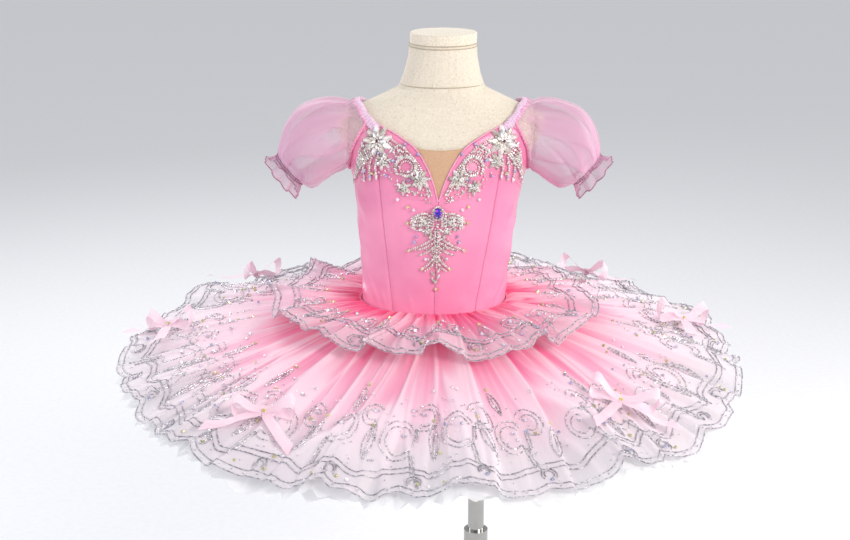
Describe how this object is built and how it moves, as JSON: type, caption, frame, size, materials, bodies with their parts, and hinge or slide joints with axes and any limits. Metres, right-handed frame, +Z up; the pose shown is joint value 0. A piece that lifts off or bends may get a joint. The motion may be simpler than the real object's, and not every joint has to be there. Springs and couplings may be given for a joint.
{
  "type": "ballet tutu on a limbless dress form",
  "caption": "Child's classical ballet tutu with satin bodice, silver lace, sheer puff sleeves and a wide layered net skirt, worn by a limbless dress form on a telescoping pole stand.",
  "frame": {"origin": "on the floor, straight below the middle of the skirt", "axes": "+Z up; the wearer's front faces -Y and the wearer's left is +X"},
  "size_m": [0.8004, 0.7945, 0.9668],
  "materials": {
    "form_linen": "matte woven linen cover",
    "chrome": "polished chrome plate",
    "black_plastic": "moulded black plastic",
    "pink_satin": "stretch satin with a soft sheen",
    "nude_mesh": "fine skin-coloured mesh",
    "pink_organza": "sheer organza",
    "lilac_elastic": "ruched satin elastic",
    "silver_lace": "beaded silver lace applique with crystals",
    "pink_tulle": "dyed tulle with silver thread",
    "ombre_tulle": "tulle shaded from hot pink to white with silver thread",
    "white_net": "stiff white net",
    "pink_ribbon": "sheer ribbon"
  },
  "bodies": {
    "stand": {"base_plate": "chrome", "base_hub": "chrome", "outer_tube": "chrome", "clamp_collar": "chrome", "thumb_screw": "black_plastic"},
    "rod": {"pole_rod": "chrome"},
    "figure": {"form_torso": "form_linen", "form_neck_cap": "form_linen", "nude_insert": "nude_mesh", "lace_pendant": "silver_lace", "skirt_overlay": "pink_tulle", "skirt_main_layer": "ombre_tulle", "net_layer_upper": "white_net", "net_layer_middle": "white_net", "net_layer_lower": "white_net", "knickers": "pink_satin", "bodice_centre_front_left": "pink_satin", "bodice_side_left": "pink_satin", "bodice_back_left": "pink_satin", "neckline_piping_left": "pink_satin", "strap_left": "lilac_elastic", "sleeve_left": "pink_organza", "lace_wing_left": "silver_lace", "bodice_centre_front_right": "pink_satin", "bodice_side_right": "pink_satin", "bodice_back_right": "pink_satin", "neckline_piping_right": "pink_satin", "strap_right": "lilac_elastic", "sleeve_right": "pink_organza", "lace_wing_right": "silver_lace", "bow_front_right": "pink_ribbon", "bow_front_left": "pink_ribbon", "bow_side_right": "pink_ribbon", "bow_side_left": "pink_ribbon", "bow_back_left": "pink_ribbon", "bow_back_right": "pink_ribbon", "form_socket": "chrome"}
  },
  "joints": [
    {"name": "pole_height", "type": "slide", "parent": "stand", "child": "rod", "axis": [0, 0, 1], "range_m": [-0.09, 0.15]},
    {"name": "form_swivel", "type": "hinge", "parent": "rod", "child": "figure", "pos_m": [0.059, 0, 0.47], "axis": [0, 0, 1], "continuous": true}
  ]
}
